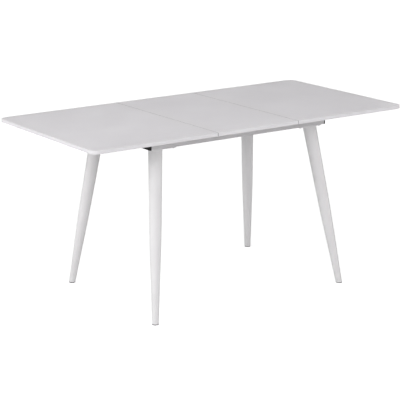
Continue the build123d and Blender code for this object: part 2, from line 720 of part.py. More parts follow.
def rivet_nuts():
    """Threaded inserts in the rails, one for each bolt."""
    nuts = []
    for side in (LEFT, RIGHT):
        for depth in (FRONT, REAR):
            for x, y in leg_bolt_places(side, depth):
                top = rail_bottom + RIVET_NUT_LENGTH
                nuts.append(ring(x, y, rail_bottom, top, RIVET_NUT_RADIUS, BOLT_RADIUS))
    for depth in (FRONT, REAR):
        y_limits = signed(depth, (rail_inner_y, rail_inner_y + RIVET_NUT_LENGTH))
        past = signed(depth, (rail_inner_y - PAST, rail_inner_y + RIVET_NUT_LENGTH + PAST))
        for x in bar_bolt_xs():
            outer = lying_y(x, y_limits, bar_bolt_z, RIVET_NUT_RADIUS)
            nuts.append(outer - lying_y(x, past, bar_bolt_z, BOLT_RADIUS))
    return nuts


def rest_pads():
    """Rubber pads under the leaf that stand on the rails' middle webs."""
    places = [(side * x, depth * RAIL_Y) for side in (LEFT, RIGHT) for depth in (FRONT, REAR)
              for x in REST_PAD_X]
    return [upright(x, y, rail_top, under_top, REST_PAD_RADIUS) for x, y in places]


# ---- the table ----------------------------------------------------------------------------
def write_frame():
    for depth in (FRONT, REAR):
        where = DEPTH_NAMES[depth]
        write(f"{where}_rail", rail(depth))
        for side in (LEFT, RIGHT):
            corner = f"{where}_{SIDE_NAMES[side]}"
            write(f"{corner}_end_cap", end_cap(side, depth))
            write(f"{corner}_leg", leg(side, depth))
            write(f"{corner}_leg_plate", leg_plate(side, depth))
            write(f"{corner}_glide", glide(side, depth))
    for name, x in zip(("left", "middle", "right"), bar_centres()):
        write(f"{name}_cross_bar", cross_bar(x))
    write("cross_bar_end_plates", bar_end_plates())
    write("cross_bar_bolts", bar_bolts())
    write("leg_bolts", leg_bolts())
    write("rail_rivet_nuts", rivet_nuts())


def write_gear():
    bracket_top = bar_z[1] + GEAR_BRACKET
    screw = Rot(180, 0, 0) * panel_screw(GEAR_BRACKET + BAR_WALL + GEAR_SCREW_BITE)
    write("gear_bracket", gear_bracket())
    write("gear_bracket_screws", [Pos(0, y, bracket_top) * screw for y in (-GEAR_SCREW_Y, GEAR_SCREW_Y)])
    write("gear_axle", gear_axle())
    write("gear_washers", gear_washers())
    write("gear_clip", gear_clip())
    write("sync_pinion", sync_pinion())
    bush_inner = AXLE_RADIUS + BUSH_SLACK
    write("pinion_bush", ring(0, 0, *PINION_Z, bush_inner + BUSH_WALL, bush_inner))


def write_half_top(side):
    name = SIDE_NAMES[side]
    corner_radii = (SEAM_CORNER_RADIUS, CORNER_RADIUS)[::side]
    core, band = banded_board(signed(side, (panel_inner_x, panel_outer_x)), corner_radii)
    seam_x = side * panel_inner_x
    holes = glued_holes(seam_x, 1) if side == LEFT else sockets(seam_x, 1)
    write(f"{name}_top_board", drill(core, holes + pilot_holes(board_screw_places(side), SCREW_BITE)))
    write(f"{name}_top_edging", drill(band, holes))
    if side == LEFT:
        write("left_top_dowels", dowels(seam_x, 1))
    for depth in (FRONT, REAR):
        write(f"{name}_{DEPTH_NAMES[depth]}_runner", runner(side, depth))
    write(f"{name}_slide_shoes", slide_shoes(side))
    write(f"{name}_runner_plugs", runner_plugs(side))
    write(f"{name}_batten", batten(side))
    write(f"{name}_board_screws", board_screws(side))
    write(f"{name}_rack", rack(side))
    write(f"{name}_rack_bracket", rack_bracket(side))
    write(f"{name}_rack_screws", rack_screws(side))


def write_leaf():
    core, band = banded_board((-leaf_half, leaf_half), (SEAM_CORNER_RADIUS, SEAM_CORNER_RADIUS))
    holes = sockets(-leaf_half, 1) + glued_holes(leaf_half, 1)
    write("leaf_board", drill(core, holes))
    write("leaf_edging", drill(band, holes))
    write("leaf_dowels", dowels(leaf_half, 1))
    write("leaf_rest_pads", rest_pads())


os.makedirs("parts", exist_ok=True)
write_frame()
write_gear()
for half in (LEFT, RIGHT):
    write_half_top(half)
write_leaf()
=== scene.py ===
import json
import math

import bmesh
import bpy
from mathutils import Matrix, Vector


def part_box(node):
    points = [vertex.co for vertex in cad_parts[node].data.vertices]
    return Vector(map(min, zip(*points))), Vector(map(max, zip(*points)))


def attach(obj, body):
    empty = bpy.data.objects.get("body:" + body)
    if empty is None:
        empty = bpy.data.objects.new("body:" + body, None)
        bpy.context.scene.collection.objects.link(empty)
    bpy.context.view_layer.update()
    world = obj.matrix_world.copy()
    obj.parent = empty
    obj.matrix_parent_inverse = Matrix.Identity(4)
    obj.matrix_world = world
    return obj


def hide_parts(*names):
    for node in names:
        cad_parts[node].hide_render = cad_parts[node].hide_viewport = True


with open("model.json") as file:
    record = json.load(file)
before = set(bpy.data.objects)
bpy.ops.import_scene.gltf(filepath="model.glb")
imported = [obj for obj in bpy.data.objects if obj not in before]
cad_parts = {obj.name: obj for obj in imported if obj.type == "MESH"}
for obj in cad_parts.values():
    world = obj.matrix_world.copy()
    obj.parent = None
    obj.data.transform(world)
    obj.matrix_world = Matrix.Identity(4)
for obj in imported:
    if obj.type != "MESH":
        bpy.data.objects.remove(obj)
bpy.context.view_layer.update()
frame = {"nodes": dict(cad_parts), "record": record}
nodes = frame["nodes"]
scene = bpy.context.scene
scene.view_settings.view_transform = "Standard"


# ---- sizes --------------------------------------------------------------------------------
def limits(node, axis):
    """A CAD node's lowest and highest x, y or z at rest, to the micrometre."""
    return tuple(round(getattr(corner, axis), 6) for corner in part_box(node))


def middle(low, high):
    return (low + high) / 2


SIDES = {"left": -1, "right": 1}
DEPTHS = {"front": -1, "rear": 1}
UNDER_FACE, TOP_FACE = limits("leaf_board", "z")
CORE_HALF_WIDTH = limits("leaf_board", "y")[1]
LEAF_CORE = limits("leaf_board", "x")
HALF_CORE = limits("right_top_board", "x")
HALF_CORNER = 0.033                     # round corners of a half's core, at its outer end
SEAM_INNER = limits("leaf_edging", "x")[1]
SEAM_OUTER = limits("right_top_edging", "x")[0]
SEAM_X = middle(SEAM_INNER, SEAM_OUTER)
RAIL_Y = middle(*limits("rear_rail", "y"))
RAIL_TOP = limits("rear_rail", "z")[1]
BAR_XS = [middle(*limits(name + "_cross_bar", "x")) for name in ("left", "middle", "right")]
BAR_HALF_WIDTH = limits("middle_cross_bar", "x")[1]
BAR_END_Y = limits("middle_cross_bar", "y")[1]
BAR_Z = limits("middle_cross_bar", "z")
PLATE_UNDER = limits("rear_right_leg_plate", "z")[0]
LEG_FOOT = (0.468, 0.335)               # a leg's axis at the floor
LEG_TOP = (0.3845, 0.222)               # and at its plate
LEG_FOOT_RADIUS = 0.014
LEG_TOP_RADIUS = 0.0286
LEG_WALL = 0.002
GLIDE_HEIGHT = limits("rear_right_leg", "z")[0]
GLIDE_PLUG_TOP = limits("rear_right_glide", "z")[1]
GLIDE_FIT = 0.0001                      # the plug is this much smaller than the leg's bore
DOWEL_RADIUS = 0.004
DOWEL_LENGTH = 0.024
DOWEL_REACH = 0.010                     # how far a dowel stands out of its board
DOWEL_YS = (-0.310, -0.110, 0.110, 0.310)
DOWEL_Z = middle(*limits("leaf_dowels", "z"))
BUSH_RADII = (0.00408, 0.00598)         # bore and outside
BUSH_Z = limits("pinion_bush", "z")
BUSH_PLAY = 0.00005                     # at each end
PAD_RADIUS = 0.007
PAD_XS = (-0.150, -0.060, 0.060, 0.150)

# ---- camera -------------------------------------------------------------------------------
CAMERA_AT = Vector((-3.4127, -5.0105, 1.9559))
CAMERA_AIM = Vector((-0.1953, -0.2535, 0.4500))
CAMERA_ROLL = math.radians(-0.444)
CAMERA_LENS = 132.74
CAMERA_SENSOR = 36.0
CAMERA_REACH = 200.0


def facing(place, target):
    """The matrix of a camera or lamp at one point that looks at another."""
    turn = (target - place).to_track_quat("-Z", "Y").to_matrix().to_4x4()
    return Matrix.Translation(place) @ turn


def make_camera():
    data = bpy.data.cameras.new("camera")
    data.lens = CAMERA_LENS
    data.sensor_width = CAMERA_SENSOR
    data.clip_end = CAMERA_REACH
    camera = bpy.data.objects.new("camera", data)
    camera.matrix_world = facing(CAMERA_AT, CAMERA_AIM) @ Matrix.Rotation(CAMERA_ROLL, 4, "Z")
    scene.collection.objects.link(camera)
    scene.camera = camera


# ---- node trees ---------------------------------------------------------------------------
NOISE_SPREAD = (0.3, 0.7)               # where nearly all of a noise texture's values lie
PATCH_SPREAD = (0.35, 0.65)
HAIRLINE_FADE = 0.03
MIX_SHARE, MIX_LOW, MIX_HIGH, MIX_RESULT = 0, 6, 7, 2   # sockets of a mix of colours


class Graph:
    """A material's node tree, with short calls for the nodes that the finishes share."""

    def __init__(self, name, **sockets):
        self.material = bpy.data.materials.new(name)
        self.material.use_nodes = True
        self.tree = self.material.node_tree
        self.shader = self.tree.nodes["Principled BSDF"]
        for socket, value in sockets.items():
            self.shader.inputs[socket.replace("_", " ")].default_value = value
        self.place = self.add("ShaderNodeTexCoord").outputs["Object"]

    def add(self, kind, inputs=None, **settings):
        node = self.tree.nodes.new(kind)
        for name, value in settings.items():
            setattr(node, name, value)
        for name, value in (inputs or {}).items():
            if isinstance(value, bpy.types.NodeSocket):
                self.tree.links.new(value, node.inputs[name])
            else:
                node.inputs[name].default_value = value
        return node

    def feed(self, socket, value):
        self.tree.links.new(value, self.shader.inputs[socket])

    def stretched(self, scale):
        """Object coordinates scaled on each axis."""
        return self.add("ShaderNodeMapping", {"Vector": self.place, "Scale": scale}).outputs["Vector"]

    def noise(self, scale, detail=2.0, roughness=0.5, at=None):
        at = self.place if at is None else at
        settings = {"Vector": at, "Scale": scale, "Detail": detail, "Roughness": roughness}
        return self.add("ShaderNodeTexNoise", settings).outputs["Fac"]

    def remap(self, value, low, high, to_low=0.0, to_high=1.0, smooth=False):
        kind = "SMOOTHSTEP" if smooth else "LINEAR"
        ends = {"Value": value, "From Min": low, "From Max": high, "To Min": to_low, "To Max": to_high}
        return self.add("ShaderNodeMapRange", ends, interpolation_type=kind).outputs["Result"]

    def calc(self, operation, a, b=0.0):
        node = self.add("ShaderNodeMath", operation=operation)
        for socket, value in zip(node.inputs, (a, b)):
            if isinstance(value, bpy.types.NodeSocket):
                self.tree.links.new(value, socket)
            else:
                socket.default_value = value
        return node.outputs["Value"]

    def times(self, a, b):
        return self.calc("MULTIPLY", a, b)

    def apart(self, a, b):
        """How far two values are apart."""
        return self.calc("ABSOLUTE", self.calc("SUBTRACT", a, b))

    def mix(self, share, low, high):
        """Colour between two colours, or colour sockets."""
        node = self.add("ShaderNodeMix", data_type="RGBA")
        for index, value in ((MIX_SHARE, share), (MIX_LOW, low), (MIX_HIGH, high)):
            if isinstance(value, bpy.types.NodeSocket):
                self.tree.links.new(value, node.inputs[index])
            elif index == MIX_SHARE:
                node.inputs[index].default_value = value
            else:
                node.inputs[index].default_value = (*value, 1.0)
        return node.outputs[MIX_RESULT]

    def axis(self, name):
        """One object coordinate."""
        return self.add("ShaderNodeSeparateXYZ", {"Vector": self.place}).outputs[name]

    def length(self, vector):
        return self.add("ShaderNodeVectorMath", {0: vector}, operation="LENGTH").outputs["Value"]

    def reach(self):
        """Distance from the origin."""
        return self.length(self.place)

    def patches(self, scale, low, high, detail=3.0):
        """Soft blotches between two colours."""
        return self.mix(self.remap(self.noise(scale, detail), *PATCH_SPREAD), low, high)

    def scratches(self, turn, scale, rarity):
        """Sparse hairlines, 1 on the line; turn is about Z, in degrees."""
        turned = self.add("ShaderNodeMapping", {
            "Vector": self.place, "Rotation": (0.0, 0.0, math.radians(turn)), "Scale": scale})
        return self.remap(self.noise(1.0, 2.0, at=turned.outputs["Vector"]), rarity, rarity + HAIRLINE_FADE)

    def outline(self, centre, half_x, half_y, corner):
        """Distance outside a plate, folded about X = 0; only its outer end has round corners."""
        along = self.calc("SUBTRACT", self.calc("ABSOLUTE", self.axis("X")), centre)
        across = self.calc("ABSOLUTE", self.axis("Y"))
        radius = self.times(self.calc("GREATER_THAN", along), corner)
        reach_x = self.calc("ADD", self.calc("SUBTRACT", self.calc("ABSOLUTE", along), half_x), radius)
        reach_y = self.calc("ADD", self.calc("SUBTRACT", across, half_y), radius)
        past = self.add("ShaderNodeCombineXYZ", {
            "X": self.calc("MAXIMUM", reach_x), "Y": self.calc("MAXIMUM", reach_y)}).outputs["Vector"]
        inside = self.calc("MINIMUM", self.calc("MAXIMUM", reach_x, reach_y))
        return self.calc("SUBTRACT", self.calc("ADD", self.length(past), inside), radius)

    def bump(self, height, distance, strength=1.0, below=None):
        inputs = {"Height": height, "Distance": distance, "Strength": strength}
        if below is not None:
            inputs["Normal"] = below
        return self.add("ShaderNodeBump", inputs).outputs["Normal"]


# ---- finishes -----------------------------------------------------------------------------
SKIN = 0.0004                           # thickness of a board's face and backing
SKIN_FADE = 0.0001
HANDLED_REACH = 0.07                    # hands dull the face this near a board's edge
GLUE_LINE = (-0.0005, -0.0001)          # where the face meets the edging
ARRIS = (0.0060, 0.0074)                # an arris's start and end, from mid thickness
FLUSH = (0.0002, 0.00005)               # depths between which the edging's top turns face-coloured
NOTCH = (0.0007, 0.0014)                # painted shade, with some dirt, in the notch at a seam's ends, by distance from its middle
NOTCH_START = 0.0005                    # past the core's long sides
GROOVE = (0.0006, 0.0011)               # and along its top arrises, painted shade and dirt likewise
GROOVE_DEPTH = (0.0015, 0.0005)
RAIL_SHADE_Z = (0.706, 0.728)           # heights between which a rail's colour darkens towards the top: painted shade under the tabletop
GRIME_TOP = 0.11                        # legs are a little scuffed below this


def laminate(name, core, corner):
    """Pearl-finished white face, fibre core where it is cut or drilled, dull backing beneath."""
    g = Graph(name)
    height = g.axis("Z")
    centre = middle(*core)
    outside = g.outline(centre, core[1] - centre, CORE_HALF_WIDTH, corner)
    face = g.patches(2.2, (0.824, 0.799, 0.830), (0.850, 0.826, 0.856))
    face = g.mix(g.remap(g.noise(900.0, 1.0), *NOISE_SPREAD, 0.0, 0.5), face, (0.777, 0.753, 0.785))
    handled = g.times(g.remap(outside, -HANDLED_REACH, 0.0, 0.0, 0.45, True), g.noise(26.0, 4.0))
    face = g.mix(handled, face, (0.795, 0.770, 0.778))
    line = g.calc("MAXIMUM", g.scratches(24.0, (5.0, 260.0, 5.0), 0.70),
                  g.scratches(-61.0, (4.0, 330.0, 4.0), 0.72))
    face = g.mix(g.times(line, 0.3), face, (0.722, 0.705, 0.730))
    face = g.mix(g.remap(outside, *GLUE_LINE, 0.0, 0.55), face, (0.44, 0.42, 0.39))
    backing = g.patches(9.0, (0.34, 0.33, 0.315), (0.40, 0.39, 0.375), 4.0)
    backing = g.mix(g.remap(g.noise(320.0, 2.0), 0.5, 0.75, 0.0, 0.5), backing, (0.27, 0.26, 0.245))
    fibre = g.mix(g.noise(800.0, 3.0), (0.30, 0.20, 0.12), (0.50, 0.37, 0.25))
    above_backing = g.remap(height, UNDER_FACE + SKIN - SKIN_FADE, UNDER_FACE + SKIN)
    in_face = g.remap(height, TOP_FACE - SKIN - SKIN_FADE, TOP_FACE - SKIN)
    g.feed("Base Color", g.mix(in_face, g.mix(above_backing, backing, fibre), face))
    smudge = g.remap(g.noise(7.0, 5.0, 0.6), *NOISE_SPREAD, 0.34, 0.46)
    g.feed("Roughness", g.calc("ADD", smudge, g.times(line, 0.12)))
    pearl = g.bump(g.noise(650.0, 2.0), 0.00003, 0.45)
    g.feed("Normal", g.bump(line, 0.00002, 0.5, pearl))
    return g.material


def edge_band():
    """White plastic edging: scraper lines along it, nicked arrises, and painted shade with some dirt where
    the seams open.
    """
    g = Graph("white_edging")
    height = g.axis("Z")
    arris = g.remap(g.apart(height, middle(UNDER_FACE, TOP_FACE)), *ARRIS, smooth=True)
    side = g.patches(3.0, (0.768, 0.750, 0.772), (0.796, 0.780, 0.800))
    flush = g.remap(height, TOP_FACE - FLUSH[0], TOP_FACE - FLUSH[1])
    face = g.mix(flush, side, (0.829, 0.805, 0.835))
    worn = g.times(arris, g.remap(g.noise(55.0, 4.0, 0.6), 0.48, 0.70))
    face = g.mix(g.times(worn, 0.5), face, (0.62, 0.605, 0.60))
    scuff = g.remap(g.noise(1.0, 3.0, 0.6, g.stretched((14.0, 14.0, 260.0))), 0.62, 0.74)
    face = g.mix(g.times(scuff, 0.25), face, (0.70, 0.69, 0.695))
    from_seam = g.apart(g.calc("ABSOLUTE", g.axis("X")), SEAM_X)
    at_end = g.remap(g.calc("ABSOLUTE", g.axis("Y")), CORE_HALF_WIDTH, CORE_HALF_WIDTH + NOTCH_START)
    at_top = g.remap(height, TOP_FACE - GROOVE_DEPTH[0], TOP_FACE - GROOVE_DEPTH[1])
    # painted shade, with some dirt: dark colour in the seam's notch at the board ends and along its top
    # groove
    notch_shade = g.times(g.remap(from_seam, *NOTCH, 1.0, 0.0), at_end)
    groove_shade = g.times(g.remap(from_seam, *GROOVE, 0.8, 0.0), at_top)
    g.feed("Base Color", g.mix(g.calc("MAXIMUM", notch_shade, groove_shade), face, (0.13, 0.125, 0.13)))
    lines = g.noise(1.0, 3.0, 0.6, g.stretched((3.0, 3.0, 1500.0)))
    g.feed("Roughness", g.remap(lines, *NOISE_SPREAD, 0.33, 0.47))
    chatter = g.bump(lines, 0.00003, 0.4)
    g.feed("Normal", g.bump(g.noise(260.0, 2.0), 0.00003, 0.3, chatter))
    return g.material


def rail_paint():
    """Painted extrusion: die lines along it show faintly through the paint; painted shade darkens it
    towards the top, and its grey tone is partly painted shade.
    """
    g = Graph("white_rail")
    # the rail's base tone is set greyer than the legs' white paint, partly as painted shade from the top's
    # overhang
    face = g.patches(5.0, (0.695, 0.680, 0.698), (0.725, 0.710, 0.728))
    # painted shade: the rail darkens towards the top, where the tabletop overhangs it
    painted_top_shade = g.remap(g.axis("Z"), *RAIL_SHADE_Z, smooth=True)
    face = g.mix(painted_top_shade, face, (0.52, 0.507, 0.522))
    lines = g.noise(1.0, 4.0, 0.6, g.stretched((1.2, 480.0, 480.0)))
    face = g.mix(g.remap(lines, 0.52, 0.72, 0.0, 0.35), face, (0.60, 0.588, 0.603))
    rub = g.remap(g.noise(1.0, 4.0, 0.65, g.stretched((30.0, 160.0, 160.0))), 0.63, 0.74, 0.0, 0.4)
    g.feed("Base Color", g.mix(rub, face, (0.50, 0.495, 0.49)))
    g.feed("Roughness", g.remap(g.noise(18.0, 4.0), *NOISE_SPREAD, 0.36, 0.50))
    drawn = g.bump(lines, 0.00004, 0.5)
    g.feed("Normal", g.bump(g.noise(430.0, 2.0), 0.00003, 0.35, drawn))
    return g.material


def powder_coat():
    """White powder coat: orange peel, and shoe scuffs near the floor."""
    g = Graph("white_steel")
    face = g.patches(9.0, (0.785, 0.772, 0.783), (0.803, 0.792, 0.802), 2.0)
    face = g.mix(g.remap(g.noise(1400.0, 1.0), 0.60, 0.75, 0.0, 0.4), face, (0.70, 0.69, 0.70))
    low = g.remap(g.axis("Z"), 0.0, GRIME_TOP, 1.0, 0.0, True)
    marks = g.remap(g.noise(1.0, 5.0, 0.65, g.stretched((110.0, 110.0, 22.0))), 0.54, 0.70)
    scuff = g.times(low, marks)
    g.feed("Base Color", g.mix(g.times(scuff, 0.45), face, (0.50, 0.485, 0.475)))
    gloss = g.remap(g.noise(12.0, 4.0), *NOISE_SPREAD, 0.36, 0.46)
    g.feed("Roughness", g.calc("ADD", gloss, g.times(scuff, 0.2)))
    peel = g.bump(g.noise(380.0, 2.0), 0.00006, 0.4)
    g.feed("Normal", g.bump(marks, 0.00003, 0.3, peel))
    return g.material


def moulded(name, dark, light, roughness, marks, **sockets):
    """Moulded plastic with a fine spark-eroded skin and rubbed patches."""
    g = Graph(name, **sockets)
    face = g.patches(60.0, dark, light)
    rubbed = g.remap(g.noise(1.0, 4.0, 0.65, g.stretched((90.0, 90.0, 240.0))), 0.56, 0.72)
    pale = tuple(2.4 * part for part in light)
    g.feed("Base Color", g.mix(g.times(rubbed, marks), face, pale))
    grain = g.noise(1500.0, 2.0)
    skin = g.remap(grain, *NOISE_SPREAD, roughness - 0.05, roughness + 0.07)
    g.feed("Roughness", g.calc("SUBTRACT", skin, g.times(rubbed, 0.12)))
    g.feed("Normal", g.bump(grain, 0.00004, 0.5))
    return g.material


def nylon():
    """Natural nylon: slightly see-through, flow marks, and a smear of grease."""
    g = Graph("natural_nylon", Subsurface_Weight=0.12, Subsurface_Scale=0.002)
    face = g.patches(45.0, (0.74, 0.71, 0.63), (0.80, 0.775, 0.70))
    flow = g.noise(1.0, 3.0, 0.6, g.stretched((25.0, 25.0, 300.0)))
    face = g.mix(g.remap(flow, 0.55, 0.75, 0.0, 0.35), face, (0.68, 0.64, 0.55))
    grease = g.remap(g.noise(38.0, 4.0, 0.6), 0.55, 0.68)
    g.feed("Base Color", g.mix(g.times(grease, 0.3), face, (0.46, 0.41, 0.33)))
    g.feed("Roughness", g.remap(grease, 0.0, 1.0, 0.48, 0.24))
    g.feed("Normal", g.bump(flow, 0.00004, 0.4))
    return g.material


def extruded(name, scale):
    """Mill-finished aluminium; scale stretches its drawing lines along one axis."""
    g = Graph(name, Metallic=1.0)
    lines = g.noise(1.0, 5.0, 0.65, g.stretched(scale))
    face = g.mix(g.remap(lines, *NOISE_SPREAD), (0.64, 0.645, 0.65), (0.77, 0.775, 0.78))
    stain = g.remap(g.noise(16.0, 5.0, 0.6), 0.52, 0.70)
    g.feed("Base Color", g.mix(g.times(stain, 0.4), face, (0.56, 0.555, 0.545)))
    g.feed("Roughness", g.calc("ADD", g.remap(lines, *NOISE_SPREAD, 0.27, 0.38), g.times(stain, 0.1)))
    g.feed("Normal", g.bump(lines, 0.00005, 0.6))
    return g.material


def zinc_plate():
    """Zinc plate with a patchy pale passivation and dull patches."""
    g = Graph("zinc_steel", Metallic=1.0)
    face = g.patches(140.0, (0.56, 0.575, 0.60), (0.68, 0.675, 0.64), 4.0)
    dull = g.remap(g.noise(420.0, 3.0, 0.6), 0.55, 0.72)
    g.feed("Base Color", g.mix(g.times(dull, 0.4), face, (0.42, 0.42, 0.43)))
    g.feed("Roughness", g.remap(dull, 0.0, 1.0, 0.28, 0.5))
    g.feed("Normal", g.bump(g.noise(900.0, 3.0), 0.00003, 0.5))
    return g.material


def beech():
    """Beech dowel stock: straight grain along it, with short dark ray flecks."""
    g = Graph("beech")
    grain = g.noise(1.0, 4.0, 0.6, g.stretched((22.0, 520.0, 520.0)))
    face = g.mix(g.remap(grain, *NOISE_SPREAD), (0.50, 0.32, 0.18), (0.70, 0.50, 0.31))
    fleck = g.remap(g.noise(1.0, 2.0, 0.5, g.stretched((260.0, 1900.0, 1900.0))), 0.62, 0.70)
    g.feed("Base Color", g.mix(g.times(fleck, 0.6), face, (0.33, 0.19, 0.10)))
    g.feed("Roughness", g.remap(grain, *NOISE_SPREAD, 0.52, 0.68))
    g.feed("Normal", g.bump(grain, 0.00008, 0.6))
    return g.material


def rubber():
    """Grey rubber with a pale bloom."""
    g = Graph("grey_rubber", Specular_IOR_Level=0.3)
    face = g.patches(200.0, (0.26, 0.26, 0.27), (0.33, 0.33, 0.34))
    bloom = g.remap(g.noise(310.0, 4.0, 0.6), 0.55, 0.72)
    g.feed("Base Color", g.mix(g.times(bloom, 0.5), face, (0.48, 0.48, 0.47)))
    g.feed("Roughness", g.remap(bloom, 0.0, 1.0, 0.66, 0.86))
    g.feed("Normal", g.bump(g.noise(1300.0, 2.0), 0.00004, 0.5))
    return g.material


def bronze():
    """Sintered bronze, open-pored and oily."""
    g = Graph("sintered_bronze", Metallic=1.0)
    pores = g.add("ShaderNodeTexVoronoi", {"Vector": g.place, "Scale": 2600.0}).outputs["Distance"]
    pit = g.remap(pores, 0.12, 0.30, 1.0, 0.0)
    face = g.patches(180.0, (0.50, 0.33, 0.16), (0.64, 0.45, 0.24))
    g.feed("Base Color", g.mix(g.times(pit, 0.7), face, (0.16, 0.10, 0.05)))
    g.feed("Roughness", g.remap(g.noise(120.0, 3.0), *NOISE_SPREAD, 0.30, 0.50))
    g.feed("Normal", g.bump(pores, 0.00005, 0.5))
    return g.material


ALONG_X = (2.0, 520.0, 520.0)
ALONG_Y = (520.0, 2.0, 520.0)
FINISHES = {
    "edging": edge_band(),
    "white_rail": rail_paint(),
    "white_steel": powder_coat(),
    "black_plastic": moulded("black_plastic", (0.008, 0.008, 0.009), (0.013, 0.013, 0.014), 0.58, 0.5,
                             Specular_IOR_Level=0.25),
    "glide_plastic": moulded("glide_plastic", (0.055, 0.055, 0.058), (0.085, 0.085, 0.088), 0.55, 0.8),
    "aluminium": extruded("aluminium", ALONG_X),
    "nylon": nylon(),
    "zinc_steel": zinc_plate(),
    "beech": beech(),
    "rubber": rubber(),
    "bronze": bronze(),
}
HALF_LAMINATE = laminate("laminate_half", HALF_CORE, HALF_CORNER)
NODE_FINISHES = {
    "left_top_board": HALF_LAMINATE,
    "right_top_board": HALF_LAMINATE,
    "leaf_board": laminate("laminate_leaf", LEAF_CORE, 0.0),
    "left_batten": extruded("aluminium_cross", ALONG_Y),
    "right_batten": extruded("aluminium_cross_right", ALONG_Y),
}


def dress_nodes():
    for row in frame["record"]["subparts"]:
        name = row["node"]
        finish = NODE_FINISHES.get(name) or FINISHES[row["material_slot"]]
        for socket in nodes[name].material_slots:
            socket.material = finish


EASED_EDGES = {                         # by the end of a node's name
    "left_cross_bar": 0.0010,
    "right_cross_bar": 0.0010,
    "end_cap": 0.0006,
    "runner_plugs": 0.0005,
    "slide_shoes": 0.0004,
}
EASE_ANGLE = math.radians(40.0)         # edges sharper than this are rounded
WELD_DISTANCE = 2e-6


def ease_edges():
    """Small roundings that catch the light on square-cut steel and plastic without holes."""
    for name, node in nodes.items():
        for ending, width in EASED_EDGES.items():
            if name.endswith(ending):
                weld = node.modifiers.new("weld", "WELD")
                weld.merge_threshold = WELD_DISTANCE
                bevel = node.modifiers.new("ease", "BEVEL")
                bevel.width = width
                bevel.segments = 2
                bevel.limit_method = "ANGLE"
                bevel.angle_limit = EASE_ANGLE
                bevel.use_clamp_overlap = False
                node.modifiers.new("shade", "WEIGHTED_NORMAL")


# ---- detail pieces ------------------------------------------------------------------------
SHARP_ANGLE = math.radians(38.0)        # edges sharper than this aren't smoothed
WELD_RADIUS = 0.0022
WELD_RIPPLE = 0.16                      # share of the weld's radius
WELD_PITCH = 0.0021                     # from ripple to ripple
WELD_STEP = WELD_PITCH / 4              # from ring to ring, on a cross bar
WELD_SINK = 0.35                        # how far a leg's weld lies below its plate, in its own radii
WELD_SIDES = 10
LEG_WELD_STEPS = 480
DOWEL_FLUTES = 18
DOWEL_SEGMENTS = 4 * DOWEL_FLUTES
FLUTE_DEPTH = 0.00028
DOWEL_EASING = 0.0001                   # a dowel's first, slight narrowing
DOWEL_CHAMFER = 0.0010
PAD_SEGMENTS = 48
BUSH_SEGMENTS = 64
BUSH_CHAMFER = 0.0003
GLIDE_SEGMENTS = 72
AXIS_CLEAR = 0.0002                     # a profile that reaches the axis stops here


def piece(name, bm, body, slot, replaced=()):
    """A finished mesh as an object that rides on a CAD body."""
    bmesh.ops.recalc_face_normals(bm, faces=bm.faces)
    mesh = bpy.data.meshes.new(name)
    bm.to_mesh(mesh)
    bm.free()
    mesh.materials.append(FINISHES[slot])
    mesh.shade_smooth()
    mesh.set_sharp_from_angle(angle=SHARP_ANGLE)
    made = bpy.data.objects.new(name, mesh)
    scene.collection.objects.link(made)
    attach(made, body)
    if replaced:
        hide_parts(*replaced)


def bridge_rings(bm, rings, closed=False):
    """Quads between rings of vertices; the two end rings are capped unless the loop is closed."""
    pairs = list(zip(rings, rings[1:]))
    if closed:
        pairs.append((rings[-1], rings[0]))
    for low, high in pairs:
        count = len(low)
        for index in range(count):
            after = (index + 1) % count
            bm.faces.new((low[index], low[after], high[after], high[index]))
    if not closed:
        bm.faces.new(rings[0])
        bm.faces.new(rings[-1])


def turned(bm, profile, place, segments, flutes=0, depth=0.0, bored=False):
    """A shape turned about its own Z from (radius, height) points; place puts each in the table."""
    rings = []
    for radius, height in profile:
        ring = []
        for index in range(segments):
            angle = 2 * math.pi * index / segments
            cut = depth * max(0.0, math.cos(flutes * angle)) if flutes else 0.0
            spot = Vector(((radius - cut) * math.cos(angle), (radius - cut) * math.sin(angle), height))
            ring.append(bm.verts.new(place(spot)))
        rings.append(ring)
    bridge_rings(bm, rings, closed=bored)


def bead(bm, path, up):
    """A weld bead along a closed flat path, with the ripples that its passes leave."""
    length = sum((path[index] - path[index - 1]).length for index in range(len(path)))
    ripples = round(length / WELD_PITCH)
    rings = []
    travelled = 0.0
    for index, spot in enumerate(path):
        before, after = path[index - 1], path[(index + 1) % len(path)]
        outward = (after - before).cross(up).normalized()
        phase = 2 * math.pi * ripples * travelled / length
        radius = WELD_RADIUS * (1 + WELD_RIPPLE * abs(math.sin(phase / 2)))
        ring = []
        for step in range(WELD_SIDES):
            angle = 2 * math.pi * step / WELD_SIDES
            ring.append(bm.verts.new(spot + radius * (math.cos(angle) * outward + math.sin(angle) * up)))
        rings.append(ring)
        travelled += (after - spot).length
    bridge_rings(bm, rings, closed=True)


def leg_axis(side, depth):
    """Where a leg's axis meets the floor and its plate."""
    foot = Vector((side * LEG_FOOT[0], depth * LEG_FOOT[1], 0.0))
    top = Vector((side * LEG_TOP[0], depth * LEG_TOP[1], PLATE_UNDER))
    return foot, top


def level_ring(centre, radius, lean, count):
    """Points where a level plane cuts a round leg of this radius that leans along lean."""
    flat = Vector((lean.x, lean.y, 0.0)).normalized()
    across = Vector((-flat.y, flat.x, 0.0))
    longer = radius * lean.length / abs(lean.z)
    angles = [2 * math.pi * index / count for index in range(count)]
    return [centre + longer * math.cos(a) * flat + radius * math.sin(a) * across for a in angles]


def leaning(foot, top):
    """A placing for level-cut shapes that lean with a leg: their rings stay level."""
    lean = top - foot
    flat = Vector((lean.x, lean.y, 0.0)).normalized()
    stretch = lean.length / lean.z - 1

    def place(spot):
        level = Vector((spot.x, spot.y, 0.0))
        return foot + lean * (spot.z / lean.z) + level + stretch * level.dot(flat) * flat

    return place


